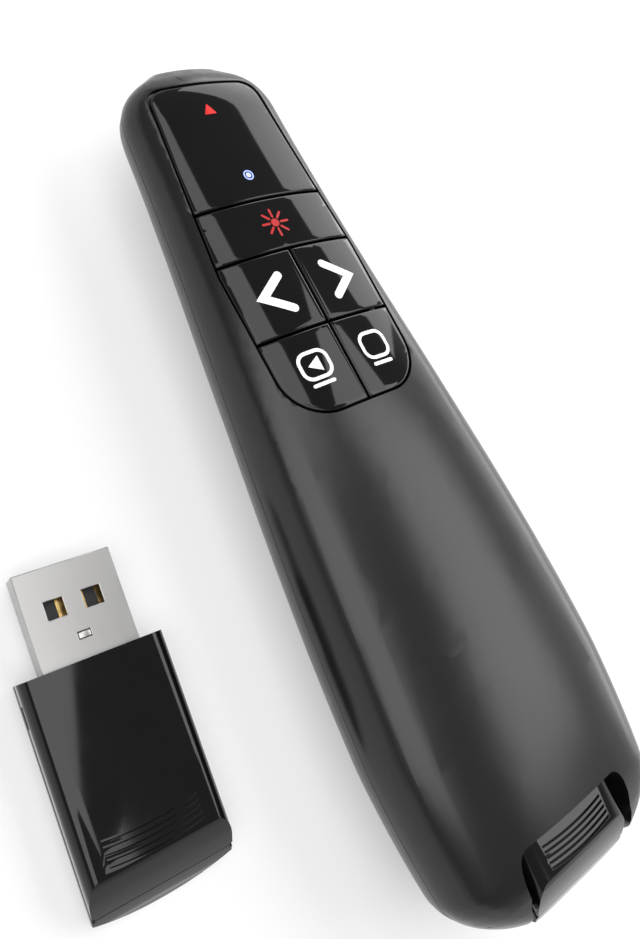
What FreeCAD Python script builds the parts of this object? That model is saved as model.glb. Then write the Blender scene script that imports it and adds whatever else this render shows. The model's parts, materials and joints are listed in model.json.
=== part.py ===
import FreeCAD, Part
import math
import os
import re
import Sketcher

# Handheld wireless presentation clicker with its plug-in receiver, in millimetres.
# X runs across the handset, Y along it with the nose at +Y, Z up through the buttons.
# The handset lies on its back: z = 0 is the flat on its belly, under its middle.

doc = FreeCAD.newDocument("clicker")
sheet = doc.addObject("Spreadsheet::Sheet", "Sizes")

sizes = {
    # outer form of the handset
    "bodyLength": 125.0,
    "noseRound": 8.4,
    "tailRound": 10.6,
    "headHalfWidth": 11.8,
    "gripHalfWidth": 20.4,
    "tailHalfWidth": 17.8,
    "gripPlace": 97.0,
    "headRise": 4.5,
    "gripRise": 8.6,
    "tailRise": 6.6,
    "risePlace": 82.0,
    "headDepth": 9.0,
    "tailDepth": 12.2,
    "depthPlace": 42.0,
    "crownShare": 0.84,
    "keelShare": 0.87,
    "partingHeight": 13.2,
    "flatDeep": 0.35,
    "wall": 1.8,
    "seamGap": 0.12,
    # gloss panel and its buttons, places measured from the nose tip
    "panelTop": 3.9,
    "panelTopHalf": 8.4,
    "panelWidest": 32.0,
    "panelMidHalf": 11.1,
    "panelEnd": 54.0,
    "panelEndHalf": 10.9,
    "panelTopRound": 2.4,
    "panelEndRound": 6.5,
    "laserRow": 22.8,
    "arrowRow": 30.7,
    "screenRow": 42.3,
    "panelGap": 0.3,
    "ledgeDrop": 0.06,
    "ledgeWidth": 1.3,
    "buttonTravel": 0.5,
    "cornerShift": 0.5,
    # circuit board and switches
    "boardThick": 1.0,
    "boardHalf": 7.3,
    "boardHead": 5.5,
    "boardTail": 1.8,
    "boardGap": 0.1,
    "chipSide": 5.0,
    "chipHigh": 0.9,
    "chipPlace": 9.8,
    "crystalLong": 3.2,
    "crystalWide": 2.5,
    "crystalHigh": 0.8,
    "crystalPlace": 4.3,
    "lampLong": 1.6,
    "lampWide": 1.0,
    "lampHigh": 0.6,
    "lampPlace": 18.4,
    "warningPlace": 7.9,
    "warningSide": -0.4,
    "switchSide": 3.6,
    "switchHigh": 1.1,
    "plungerRadius": 0.8,
    "plungerLong": 1.0,
    "plungerFit": 0.15,
    # laser module in the nose
    "laserRadius": 2.5,
    "laserGap": 0.2,
    "laserFit": 0.05,
    "laserInset": 2.3,
    "laserLong": 14.0,
    "laserBore": 1.5,
    "laserBoreLong": 5.0,
    "noseHoleDeep": 2.0,
    "bezelLong": 1.4,
    "lensThick": 0.8,
    "lensInset": 0.6,
    "lensFit": 0.02,
    # cell and its door
    "cellRadius": 5.2,
    "cellLong": 43.7,
    "cellNubLong": 0.8,
    "cellNubRadius": 1.9,
    "cellClear": 0.25,
    "cellRoof": 0.2,
    "springRoom": 1.6,
    "springSheet": 0.3,
    "contactHalf": 3.8,
    "contactHigh": 3.6,
    "leafHigh": 2.5,
    "contactPlate": 0.35,
    "contactPlay": 0.05,
    "trayWall": 1.3,
    "trayDeep": 3.06,
    "trayLip": 0.01,
    "doorWall": 1.3,
    "doorHalf": 8.3,
    "doorLap": 0.4,
    "doorTailLap": 0.8,
    "doorGap": 0.25,
    "grooveFirst": 5.0,
    "groovePitch": 1.6,
    "grooveWide": 0.7,
    "grooveHalf": 4.0,
    "grooveDeep": 0.5,
    # receiver and its bay
    "receiverHalf": 9.0,
    "receiverTop": 6.2,
    "receiverUnder": -0.6,
    "receiverLong": 30.0,
    "receiverEdge": 1.9,
    "receiverWall": 1.0,
    "receiverSolid": 9.0,
    "receiverEndRound": 28.6,
    "facetLong": 6.7,
    "facetRound": 20.0,
    "sideLineHigh": 0.5,
    "sideLineDeep": 0.35,
    "catchPlace": 2.6,
    "catchLong": 2.6,
    "catchHigh": 1.3,
    "catchDeep": 0.9,
    "shellSeam": 0.03,
    "bayClear": 0.25,
    "bayWall": 1.4,
    "bayRoom": 1.5,
    "mouthDeep": 12.1,
    "mouthHalf": 10.3,
    "mouthRound": 2.0,
    "ribPitch": 0.72,
    "ribWide": 0.34,
    "ribDeep": 0.35,
    "ribHalf": 5.9,
    "ribPlace": 9.8,
    "ribCurve": 40.0,
    "plugHalf": 6.0,
    "plugThick": 4.5,
    "plugOut": 12.0,
    "plugIn": 6.0,
    "plugSheet": 0.3,
    "plugFit": 0.05,
    "plugWindow": 2.3,
    "plugWindowSide": 2.3,
    "plugWindowBack": 5.2,
    "latchWide": 1.6,
    "latchLong": 0.9,
    "latchBack": 9.2,
    "tongueThick": 1.9,
    "tongueInset": 0.3,
    "contactWide": 1.0,
    "contactThick": 0.15,
    "contactPitch": 2.5,
    "contactInset": 1.5,
    "contactTail": 2.0,
    "boardSide": 0.3,
    "boardSheet": 0.8,
    "driverSide": 4.0,
    "driverPlace": 13.0,
    "driverHigh": 0.8,
    "looseX": -43.5,
    "looseY": -15.0,
    "looseTurn": -5.5,
    # power slider on the right side
    "sliderPlace": 4.9,
    "sliderTravel": 3.0,
    "sliderLong": 4.0,
    "sliderHigh": 2.2,
    "sliderGap": 0.3,
    "sliderProud": 0.5,
    "powerCaseOut": 2.7,
    "powerCaseAhead": 3.0,
    "powerCaseBack": 5.5,
    "powerCaseHigh": 2.4,
    # case screws
    "screwRadius": 1.0,
    "screwHead": 1.9,
    "screwHeadHigh": 1.4,
    "screwSeat": -7.4,
    "screwLong": 10.0,
    "screwClear": 0.15,
    "bossRadius": 2.5,
    "frontScrewX": 11.0,
    "frontScrewPlace": 59.5,
    "rearScrewX": 13.8,
    "rearScrewPlace": 32.5,
    # reach of the blocks that only cut or divide
    "beyond": 40.0,
    "overrun": 1.0,
    # heights that follow from others: belly, board on the cell, buttons over the switches, laser
    "gripDepth": "=partingHeight + flatDeep",
    "boardUnder": "=wall + 2 * (cellRadius + cellClear) + cellRoof + boardGap - partingHeight",
    "buttonUnder": "=boardUnder + boardThick + switchHigh + plungerLong",
    "laserDrop": "=laserRadius + laserGap - boardUnder",
}
for row, (word, number) in enumerate(sizes.items(), 1):
    sheet.set("A%d" % row, word)
    sheet.set("B%d" % row, str(number))
    sheet.setAlias("B%d" % row, word)
doc.recompute()

wordPattern = re.compile(r"\b(" + "|".join(sizes) + r")\b")


def bound(text):
    return wordPattern.sub(r"Sizes.\1", "(%s)" % text)


def value(text):
    return float(sheet.evalExpression(bound(text)))


def place(thing, x="0", y="0", z="0"):
    thing.setExpression("Placement.Base.x", bound(x))
    thing.setExpression("Placement.Base.y", bound(y))
    thing.setExpression("Placement.Base.z", bound("partingHeight + " + z))
    return thing


def box(name, x, y, z):
    """A block between two places on each axis; z is measured from the parting plane."""
    block = doc.addObject("Part::Box", name)
    for side, (low, high) in zip(("Length", "Width", "Height"), (x, y, z)):
        block.setExpression(side, bound("(%s) - (%s)" % (high, low)))
    return place(block, x[0], y[0], "(%s)" % z[0])


turns = {
    "x": FreeCAD.Rotation(FreeCAD.Vector(0, 1, 0), 90),
    "y": FreeCAD.Rotation(FreeCAD.Vector(1, 0, 0), -90),
    "z": FreeCAD.Rotation(),
}


def rod(name, axis, radius, length, x="0", y="0", z="0"):
    """A cylinder that starts at its place and runs along one axis."""
    cylinder = doc.addObject("Part::Cylinder", name)
    cylinder.setExpression("Radius", bound(radius))
    cylinder.setExpression("Height", bound(length))
    cylinder.Placement.Rotation = turns[axis]
    return place(cylinder, x, y, "(%s)" % z)


across = ("-beyond", "beyond")
above = ("0", "beyond")


def cut(name, base, tool):
    result = doc.addObject("Part::Cut", name)
    result.Base = base
    result.Tool = tool
    return result


def common(name, base, tool):
    result = doc.addObject("Part::Common", name)
    result.Base = base
    result.Tool = tool
    return result


def join(name, things):
    result = doc.addObject("Part::MultiFuse", name)
    result.Shapes = things
    result.Refine = False
    return result


def group(name, things):
    result = doc.addObject("Part::Compound", name)
    result.Links = things
    return result


nodes = {}


def node(name, thing):
    thing.Label = name
    nodes[name] = thing
    return thing


# Outer form: ruled bands between cross-sections of tangent arcs


def law(at, peak, head, top, tail, ease):
    """A size that eases from the nose to its peak and falls away to the tail."""
    if value(at) <= value(peak):
        u = "(%s) / %s" % (at, peak)
        return "(%s + (%s - %s) * (%s * (%s) + (1 - %s) * (%s)^2 * (3 - 2 * (%s))))" % (
            head, top, head, ease, u, ease, u, u)
    v = "((%s) - %s) / (bodyLength - %s)" % (at, peak, peak)
    return "(%s - (%s - %s) * (%s)^2)" % (top, top, tail, v)


def section(name, at, closing, inset, faceted):
    """Cross-section at a distance from the nose, of tangent arcs or of facets laid inside them."""
    chin = 0.15 + 0.85 * closing if value(at) < value("noseRound") else closing
    wide = law(at, "gripPlace", "headHalfWidth", "gripHalfWidth", "tailHalfWidth", "0.4")
    high = law(at, "risePlace", "headRise", "gripRise", "tailRise", "0.25")
    low = law(at, "depthPlace", "headDepth", "gripDepth", "tailDepth", "0.5")
    half = "((%s - %s) * %.4f)" % (wide, inset, closing)
    rise = "((%s - %s) * %.4f)" % (high, inset, closing)
    shoulder = "((%s * crownShare - %s) * %.4f)" % (high, inset, closing)
    deep = "((%s - %s) * %.4f)" % (low, inset, chin)
    bilge = "((%s * keelShare - %s) * %.4f)" % (low, inset, chin)
    if faceted:
        return facets(name, at, half, rise, shoulder, deep, bilge)
    return arcs(name, at, half, rise, shoulder, deep, bilge)


def crossSketch(name, at):
    sketch = doc.addObject("Sketcher::SketchObject", name)
    sketch.Placement = FreeCAD.Placement(
        FreeCAD.Vector(0, 0, 0), FreeCAD.Rotation(FreeCAD.Vector(1, 0, 0), 90))
    return place(sketch, "0", "bodyLength / 2 - (%s)" % at, "0")


shoulderTurns = (36, 74)
bilgeTurns = (32, 62)


def facets(name, at, half, rise, shoulder, deep, bilge):
    """Twelve flats whose corners lie on the crown, shoulders, bilges and keel."""
    sketch = crossSketch(name, at)
    right = [(half, "0")]
    for turn in shoulderTurns:
        slope = math.radians(turn)
        right.append(("%s - %s * %.4f" % (half, shoulder, 1 - math.cos(slope)),
                      "%s * %.4f" % (shoulder, math.sin(slope))))
    under = []
    for turn in reversed(bilgeTurns):
        slope = math.radians(turn)
        under.append(("%s - %s * %.4f" % (half, bilge, 1 - math.cos(slope)),
                      "-%s * %.4f" % (bilge, math.sin(slope))))
    corners = right + [("0", rise)]
    corners += [("-(%s)" % x, z) for x, z in reversed(right)]
    corners += [("-(%s)" % x, z) for x, z in reversed(under)]
    corners += [("0", "-" + deep)] + under
    points = [FreeCAD.Vector(value(x), value(z), 0) for x, z in corners]
    count = len(points)
    sketch.addGeometry([Part.LineSegment(points[i], points[(i + 1) % count]) for i in range(count)], False)
    for i in range(count):
        sketch.addConstraint(Sketcher.Constraint("Coincident", i, 2, (i + 1) % count, 1))
    for i, (x, z) in enumerate(corners):
        bindCorner(sketch, i, x, z)
    return sketch


def bindCorner(sketch, number, x, y):
    for kind, text in (("DistanceX", x), ("DistanceY", y)):
        index = sketch.addConstraint(Sketcher.Constraint(kind, -1, 1, number, 1, value(text)))
        sketch.setExpression("Constraints[%d]" % index, bound(text))


def arcs(name, at, half, rise, shoulder, deep, bilge):
    """Crown arc, two shoulders, keel arc and two bilges, tangent to each other."""
    sketch = crossSketch(name, at)
    w, up, ru, down, rl = (value(text) for text in (half, rise, shoulder, deep, bilge))
    crown = ((w - ru) ** 2 + up ** 2 - ru ** 2) / (2 * (up - ru))
    keel = ((w - rl) ** 2 + down ** 2 - rl ** 2) / (2 * (down - rl))
    top = math.asin((crown - up) / (crown - ru))
    low = math.asin((keel - down) / (keel - rl))

    def arc(x, z, radius, start, end):
        circle = Part.Circle(FreeCAD.Vector(x, z, 0), FreeCAD.Vector(0, 0, 1), radius)
        return Part.ArcOfCircle(circle, start, end)

    pi = math.pi
    sketch.addGeometry([
        arc(0, up - crown, crown, top, pi - top),
        arc(w - ru, 0, ru, 0, top),
        arc(ru - w, 0, ru, pi - top, pi),
        arc(rl - w, 0, rl, pi, pi + low),
        arc(0, keel - down, keel, pi + low, 2 * pi - low),
        arc(w - rl, 0, rl, 2 * pi - low, 2 * pi),
    ], False)
    sketch.addGeometry([
        Part.Point(FreeCAD.Vector(0, up, 0)),
        Part.Point(FreeCAD.Vector(0, -down, 0)),
    ], True)
    rule = Sketcher.Constraint
    rules = [
        rule("Tangent", 1, 2, 0, 1),
        rule("Tangent", 0, 2, 2, 1),
        rule("Tangent", 2, 2, 3, 1),
        rule("Tangent", 3, 2, 4, 1),
        rule("Tangent", 4, 2, 5, 1),
        rule("Tangent", 5, 2, 1, 1),
        rule("PointOnObject", 1, 1, -1),
        rule("PointOnObject", 2, 2, -1),
        rule("PointOnObject", 1, 3, -1),
        rule("Equal", 1, 2),
        rule("Equal", 3, 5),
        rule("PointOnObject", 6, 1, 0),
        rule("PointOnObject", 6, 1, -2),
        rule("PointOnObject", 7, 1, 4),
        rule("PointOnObject", 7, 1, -2),
        rule("DistanceX", -1, 1, 1, 1, w),
        rule("DistanceX", 2, 2, -1, 1, w),
        rule("DistanceY", -1, 1, 6, 1, up),
        rule("Radius", 1, ru),
        rule("DistanceY", 7, 1, -1, 1, down),
        rule("Radius", 3, rl),
    ]
    sketch.addConstraint(rules)
    first = len(rules) - 6
    for index, text in enumerate((half, half, rise, shoulder, deep, bilge)):
        sketch.setExpression("Constraints[%d]" % (first + index), bound(text))
    return sketch


outerSteps = ((0.06, 0.16, 0.38, 0.66), (0.0, 0.10, 0.21, 0.34, 0.50, 0.69, 0.86), (90, 66, 46, 28, 10))
hollowSteps = ((0.30, 0.62), (0.0, 0.21, 0.50, 0.86), (90, 62, 35))
coreSteps = ((0.22, 0.62), (0.0, 0.21, 0.50, 0.86), (90, 62, 30))
doorSteps = ((), (0.10, 0.21, 0.34, 0.50, 0.69, 0.86), ())


def noseClosing(share):
    return (1 - (1 - share) ** 2.6) ** (1 / 2.6)


def formSections(name, inset, steps, faceted):
    nose, barrel, tail = steps
    made = []

    def add(at, closing):
        made.append(section("%sSection%d" % (name, len(made)), at, closing, inset, faceted))

    for share in nose:
        at = "%s + (noseRound - %s) * %.3f" % (inset, inset, share)
        add("0" if share == outerSteps[0][0] else at, noseClosing(share))
    for share in barrel:
        add("noseRound + (bodyLength - tailRound - noseRound) * %.3f" % share, 1.0)
    for angle in tail:
        slope = math.radians(angle)
        reach = "bodyLength - %s - (tailRound - %s) * %.4f" % (inset, inset, 1 - math.cos(slope))
        add("bodyLength" if angle == outerSteps[2][-1] else reach, math.sin(slope))
    return made


def form(name, inset, steps, faceted=False):
    loft = doc.addObject("Part::Loft", name)
    loft.Sections = formSections(name, inset, steps, faceted)
    loft.Solid = True
    loft.Ruled = True
    return loft


rawForm = form("rawForm", "0", outerSteps)
aboveFloor = box("aboveFloor", across, ("-bodyLength", "bodyLength"), ("-partingHeight", "beyond"))
outerForm = common("outerForm", rawForm, aboveFloor)
hollow = form("hollow", "wall", hollowSteps, True)
core = form("core", "wall / 2", coreSteps, True)

upperHalf = box("upperHalf", across, ("-bodyLength", "bodyLength"), ("seamGap / 2", "beyond"))
lowerHalf = box("lowerHalf", across, ("-bodyLength", "bodyLength"), ("-beyond", "-seamGap / 2"))


# Outlines drawn in plan and padded upwards


def noseY(at):
    return "(bodyLength / 2 - (%s))" % at


def prism(name, corners, low, high, rounds=None):
    """A block with a drawn plan outline; rounds gives the corner radii by corner number."""
    body = doc.addObject("PartDesign::Body", name)
    sketch = body.newObject("Sketcher::SketchObject", name + "Outline")
    plane = [f for f in body.Origin.OriginFeatures if f.Role == "XY_Plane"][0]
    sketch.AttachmentSupport = [(plane, "")]
    sketch.MapMode = "FlatFace"
    sketch.setExpression("AttachmentOffset.Base.z", bound("partingHeight + (%s)" % low))
    points = [FreeCAD.Vector(value(x), value(y), 0) for x, y in corners]
    count = len(points)
    lines = [Part.LineSegment(points[i], points[(i + 1) % count]) for i in range(count)]
    sketch.addGeometry(lines, False)
    for i in range(count):
        sketch.addConstraint(Sketcher.Constraint("Coincident", i, 2, (i + 1) % count, 1))
    for i, (x, y) in enumerate(corners):
        bindCorner(sketch, i, x, y)
    pad = body.newObject("PartDesign::Pad", name + "Pad")
    pad.Profile = sketch
    pad.setExpression("Length", bound("(%s) - (%s)" % (high, low)))
    doc.recompute()
    for number, radius in (rounds or {}).items():
        spot = points[number]
        edges = []
        for index, edge in enumerate(body.Shape.Edges, 1):
            ends = [vertex.Point for vertex in edge.Vertexes]
            if all(math.hypot(p.x - spot.x, p.y - spot.y) < 1e-6 for p in ends):
                edges.append("Edge%d" % index)
        base = body.Tip
        fillet = body.newObject("PartDesign::Fillet", "%sRound%d" % (name, number))
        fillet.Base = (base, edges)
        fillet.setExpression("Radius", bound(radius))
        doc.recompute()
    return body


def panelHalf(at):
    """Half width of the gloss panel at a distance from the nose."""
    start, end, near, past = "panelTop", "panelWidest", "panelTopHalf", "panelMidHalf"
    if value(at) > value("panelWidest"):
        start, end, near, past = "panelWidest", "panelEnd", "panelMidHalf", "panelEndHalf"
    return "(%s + (%s - %s) * (%s - %s) / (%s - %s))" % (near, past, near, at, start, end, start)


def panelOutline(name, top, end, grow, low, high, rounded):
    wide = [(top, "+"), ("panelWidest", "+"), (end, "+"), (end, "-"), ("panelWidest", "-"), (top, "-")]
    if value(end) <= value("panelWidest") or value(top) >= value("panelWidest"):
        wide = [(top, "+"), (end, "+"), (end, "-"), (top, "-")]
    corners = []
    for at, side in wide:
        outward = "+ %s" % grow if at == top else "- (%s)" % grow
        if at == "panelWidest":
            outward = ""
        x = "%s(%s + %s)" % ("" if side == "+" else "-", panelHalf(at), grow)
        corners.append((x, "%s %s" % (noseY(at), outward)))
    return prism(name, corners, low, high, rounded)


topRounds = {0: "panelTopRound", 3: "panelTopRound"}
windowBlock = panelOutline("windowBlock", "panelTop", "(laserRow - panelGap / 2)", "0",
                           "buttonUnder", "beyond", topRounds)
node("indicator_window", common("indicatorWindow", windowBlock, outerForm))


def sidePanel(name, top, end, side, rounds):
    """Half of a panel row, from the centre gap to the panel's edge."""
    sign = "" if side > 0 else "-"
    inner = "%spanelGap / 2" % sign
    corners = [(inner, noseY(top))]
    corners.append(("%s%s" % (sign, panelHalf(top)), noseY(top)))
    if value(top) < value("panelWidest") < value(end):
        corners.append(("%s%s" % (sign, panelHalf("panelWidest")), noseY("panelWidest")))
    corners.append(("%s%s" % (sign, panelHalf(end)), noseY(end)))
    corners.append((inner, noseY(end)))
    return prism(name, corners, "buttonUnder", "beyond", {len(corners) - 2: rounds} if rounds else None)


laserBlock = panelOutline("laserBlock", "(laserRow + panelGap / 2)", "(arrowRow - panelGap / 2)", "0",
                          "buttonUnder", "beyond", None)
arrowSpan = ("(arrowRow + panelGap / 2)", "(screenRow - panelGap / 2)")
screenSpan = ("(screenRow + panelGap / 2)", "panelEnd")
buttonBlocks = {
    "laser": laserBlock,
    "back": sidePanel("backBlock", *arrowSpan, -1, None),
    "forward": sidePanel("forwardBlock", *arrowSpan, 1, None),
    "play": sidePanel("playBlock", *screenSpan, -1, "panelEndRound"),
    "blank": sidePanel("blankBlock", *screenSpan, 1, "panelEndRound"),
}
switchPlaces = {
    "laser": ("0", noseY("(laserRow + arrowRow) / 2")),
    "back": ("-panelMidHalf / 2", noseY("(arrowRow + screenRow) / 2")),
    "forward": ("panelMidHalf / 2", noseY("(arrowRow + screenRow) / 2")),
    "play": ("-panelMidHalf / 2", noseY("(screenRow + panelEnd) / 2 - cornerShift")),
    "blank": ("panelMidHalf / 2", noseY("(screenRow + panelEnd) / 2 - cornerShift")),
}
boardTop = "(boardUnder + boardThick)"
switchTop = "(boardUnder + boardThick + switchHigh)"
switchCases = []
for name, block in buttonBlocks.items():
    x, y = switchPlaces[name]
    node(name + "_button", common(name + "Button", block, outerForm))
    plunger = rod(name + "Plunger", "z", "plungerRadius", "buttonUnder - %s + plungerFit" % switchTop,
                  x, y, "%s - plungerFit" % switchTop)
    node(name + "_plunger", plunger)
    side = ("%s - switchSide / 2" % x, "%s + switchSide / 2" % x)
    case = box(name + "SwitchBlock", side, ("%s - switchSide / 2" % y, "%s + switchSide / 2" % y),
               (boardTop, switchTop))
    well = rod(name + "SwitchWell", "z", "plungerRadius + plungerFit", "switchHigh",
               x, y, "%s - plungerFit * 2 - buttonTravel" % switchTop)
    switchCases.append(cut(name + "Switch", case, well))
node("tact_switches", group("tactSwitches", switchCases))

# Circuit board and what is soldered to it
bayEnd = "(receiverLong + plugOut + bayRoom - bodyLength / 2)"


def onBoard(name, x, wide, y, long, high):
    return box(name, ("%s - %s / 2" % (x, wide), "%s + %s / 2" % (x, wide)),
               ("%s - %s / 2" % (y, long), "%s + %s / 2" % (y, long)),
               (boardTop, "%s + %s" % (boardTop, high)))


boardStart = bayEnd + " + bayWall + boardTail"
node("main_board", box("mainBoard", ("-boardHalf", "boardHalf"), (boardStart, noseY("boardHead")),
                       ("boardUnder", boardTop)))
node("radio_chip", onBoard("radioChip", "0", "chipSide", boardStart + " + chipPlace", "chipSide", "chipHigh"))
node("crystal", onBoard("crystal", "0", "crystalLong", boardStart + " + crystalPlace",
                        "crystalWide", "crystalHigh"))
node("status_led", onBoard("statusLed", "0", "lampLong", noseY("lampPlace"), "lampWide", "lampHigh"))
node("laser_indicator_led", onBoard("indicatorLed", "warningSide", "lampLong", noseY("warningPlace"),
                                    "lampWide", "lampHigh"))

# Laser module: brass barrel with a bore, a lens inside it and a bezel in the nose
laserFront = noseY("laserInset")
barrelBlock = rod("barrelBlock", "y", "laserRadius", "laserLong",
                  "0", laserFront + " - laserLong", "-laserDrop")
barrelBore = rod("barrelBore", "y", "laserBore", "laserBoreLong + overrun",
                 "0", laserFront + " - laserBoreLong", "-laserDrop")
node("laser_module", cut("laserModule", barrelBlock, barrelBore))
node("laser_lens", rod("laserLens", "y", "laserBore - lensFit", "lensThick",
                       "0", laserFront + " - lensThick - lensInset", "-laserDrop"))
bezelBlock = rod("bezelBlock", "y", "laserRadius", "bezelLong", "0", laserFront, "-laserDrop")
bezelBore = rod("bezelBore", "y", "laserBore", "bezelLong + overrun * 2",
                "0", laserFront + " - overrun", "-laserDrop")
node("laser_bezel", cut("laserBezel", bezelBlock, bezelBore))
noseHole = rod("noseHole", "y", "laserRadius + laserFit", "laserInset + noseHoleDeep + overrun",
               "0", laserFront + " - noseHoleDeep", "-laserDrop")

# Receiver bay, a channel in the tail that both halves wall in
bayBlock = box("bayBlock", ("-receiverHalf - bayClear - bayWall", "receiverHalf + bayClear + bayWall"),
               ("-bodyLength", bayEnd + " + bayWall"),
               ("receiverUnder - bayClear - bayWall", "receiverTop + bayClear + bayWall"))
bayHollow = box("bayHollow", ("-receiverHalf - bayClear", "receiverHalf + bayClear"),
                ("-bodyLength", bayEnd), ("receiverUnder - bayClear", "receiverTop + bayClear"))
bayFilled = common("bayFilled", bayBlock, core)
mouthEdge = "mouthDeep - bodyLength / 2"
mouthBlock = prism("mouthBlock", [
    ("mouthHalf", "-bodyLength"), ("mouthHalf", mouthEdge),
    ("-mouthHalf", mouthEdge), ("-mouthHalf", "-bodyLength")],
    "0", "beyond", {1: "mouthRound", 2: "mouthRound"})

# Case screws and the bosses that take them
screwSpots = []
for sign in ("", "-"):
    screwSpots.append((sign + "frontScrewX", noseY("frontScrewPlace")))
    screwSpots.append((sign + "rearScrewX", "(rearScrewPlace - bodyLength / 2)"))
screws, bosses, shafts, sinks = [], [], [], []
for number, (x, y) in enumerate(screwSpots):
    head = rod("screwHead%d" % number, "z", "screwHead", "screwHeadHigh", x, y, "screwSeat - screwHeadHigh")
    shank = rod("screwShank%d" % number, "z", "screwRadius", "screwLong", x, y, "screwSeat")
    screws.append(join("screw%d" % number, [head, shank]))
    bosses.append(rod("boss%d" % number, "z", "bossRadius", "beyond * 2", x, y, "-beyond"))
    shafts.append(rod("shaft%d" % number, "z", "screwRadius + screwClear", "screwLong + screwClear",
                      x, y, "screwSeat"))
    sinks.append(rod("sink%d" % number, "z", "screwHead + screwClear", "beyond", x, y, "screwSeat - beyond"))
node("case_screws", group("caseScrews", screws))
bossFilled = common("bossFilled", join("bossGroup", bosses), core)

# Upper shell: half of the form, hollowed, with the panel well and the tail mouth
upperWall = common("upperWall", cut("hollowForm", outerForm, hollow), upperHalf)
upperBay = common("upperBay", bayFilled, upperHalf)
upperBosses = common("upperBosses", bossFilled, upperHalf)
upperBlank = join("upperBlank", [upperWall, upperBay, upperBosses])
panelWell = panelOutline("panelWell", "panelTop", "panelEnd", "panelGap",
                         "buttonUnder - ledgeDrop", "beyond",
                         {0: "panelTopRound + panelGap", 2: "panelEndRound + panelGap",
                          3: "panelEndRound + panelGap", 5: "panelTopRound + panelGap"})
buttonWell = panelOutline("buttonWell", "(laserRow - panelGap / 2)", "panelEnd", "panelGap",
                          "-1", "beyond",
                          {2: "panelEndRound + panelGap", 3: "panelEndRound + panelGap"})
lightWell = box("lightWell", ("-panelTopHalf + ledgeWidth", "panelTopHalf - ledgeWidth"),
                (noseY("laserRow"), noseY("panelTop + ledgeWidth")), ("0", "buttonUnder"))
upperTools = join("upperTools", [panelWell, buttonWell, lightWell, mouthBlock, bayHollow, noseHole]
                  + shafts)
node("upper_shell", cut("upperShell", upperBlank, upperTools))

# Lower shell: the other half, with the cell tray, the door opening and the slider slot
lowerWall = common("lowerWall", doc.getObject("hollowForm"), lowerHalf)
lowerBay = common("lowerBay", bayFilled, lowerHalf)
lowerBosses = common("lowerBosses", bossFilled, lowerHalf)
cellMiddle = "-(partingHeight - wall - cellClear - cellRadius)"
pocketTail = "(%s + bayWall)" % bayEnd
cellTail = "(%s + springRoom)" % pocketTail
pocketHead = "(%s + cellLong + cellNubLong + contactPlate + contactPlay)" % cellTail
trayHead = "(%s + trayWall)" % pocketHead
sliderMiddle = "(%s - sliderPlace)" % pocketHead
trayHalf = "(cellRadius + cellClear + trayWall)"
trayFloor = "-(gripDepth - trayDeep)"
doorHead = "(%s + doorLap)" % trayHead
doorTail = "(%s - doorTailLap)" % pocketTail
cellTop = "(%s + cellRadius + cellClear)" % cellMiddle
tray = box("tray", ("-" + trayHalf, trayHalf), (bayEnd + " + bayWall / 2", trayHead),
           (trayFloor, "boardUnder - boardGap"))
ribs = box("trayRibs", across, (pocketHead, trayHead), (trayFloor, "boardUnder - boardGap"))
backRibs = box("trayBackRibs", across, (bayEnd, pocketTail), ("-beyond", "-seamGap / 2"))
ribsFilled = common("ribsFilled", join("ribGroup", [ribs, backRibs]), core)
lowerBlank = join("lowerBlank", [lowerWall, lowerBay, lowerBosses, tray, ribsFilled])
cellPocket = box("cellPocket", ("-cellRadius - cellClear", "cellRadius + cellClear"),
                 (pocketTail, pocketHead), ("-beyond", cellTop))
doorOpening = box("doorOpening", ("-doorHalf - doorGap", "doorHalf + doorGap"),
                  (doorTail + " - doorGap", doorHead + " + doorGap"), ("-beyond", trayFloor + " - trayLip"))
sliderSlot = box("sliderSlot", ("headHalfWidth - wall", "gripHalfWidth"),
                 (sliderMiddle + " - sliderLong / 2 - sliderTravel - sliderGap",
                  sliderMiddle + " + sliderLong / 2 + sliderGap"),
                 ("-sliderHigh - sliderGap * 2", "0"))
lowerTools = join("lowerTools", [cellPocket, doorOpening, sliderSlot, bayHollow, noseHole] + shafts + sinks)
node("lower_shell", cut("lowerShell", lowerBlank, lowerTools))

# Cell door, cut from the same skin
doorBlock = box("doorBlock", ("-doorHalf", "doorHalf"), (doorTail, doorHead),
                ("-beyond", trayFloor + " - doorGap"))
doorInner = form("doorInner", "doorWall", doorSteps, True)
doorSkin = cut("doorSkin", common("doorSolid", outerForm, doorBlock), doorInner)
thumbGrooves = []
for number in range(4):
    start = "%s - grooveFirst - %d * groovePitch" % (doorHead, number)
    thumbGrooves.append(box("thumbGroove%d" % number, ("-grooveHalf", "grooveHalf"),
                            (start, start + " + grooveWide"), ("-beyond", "grooveDeep - partingHeight")))
node("battery_cover", cut("batteryCover", doorSkin, join("thumbGrooves", thumbGrooves)))

# Cell, the plate at its head and the bent leaf at its tail
cellCan = rod("cellCan", "y", "cellRadius", "cellLong", "0", cellTail, cellMiddle)
cellNub = rod("cellNub", "y", "cellNubRadius", "cellNubLong", "0", cellTail + " + cellLong", cellMiddle)
node("battery_cell", join("batteryCell", [cellCan, cellNub]))
node("positive_contact", box("positiveContact", ("-contactHalf", "contactHalf"),
                             (pocketHead + " - contactPlate", pocketHead),
                             (cellMiddle + " - contactHigh", cellMiddle + " + contactHigh")))
leaf = [("-contactHalf", "0"), ("contactHalf", "0"), ("contactHalf", "springSheet * 3"),
        ("-contactHalf * 0.3", "springRoom - contactPlay"),
        ("-contactHalf * 0.8", "springRoom - springSheet * 2"),
        ("-contactHalf * 0.8", "springRoom - springSheet * 3"),
        ("-contactHalf * 0.3", "springRoom - contactPlay - springSheet"),
        ("contactHalf - springSheet", "springSheet * 2"),
        ("contactHalf - springSheet", "springSheet"), ("-contactHalf", "springSheet")]
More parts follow.
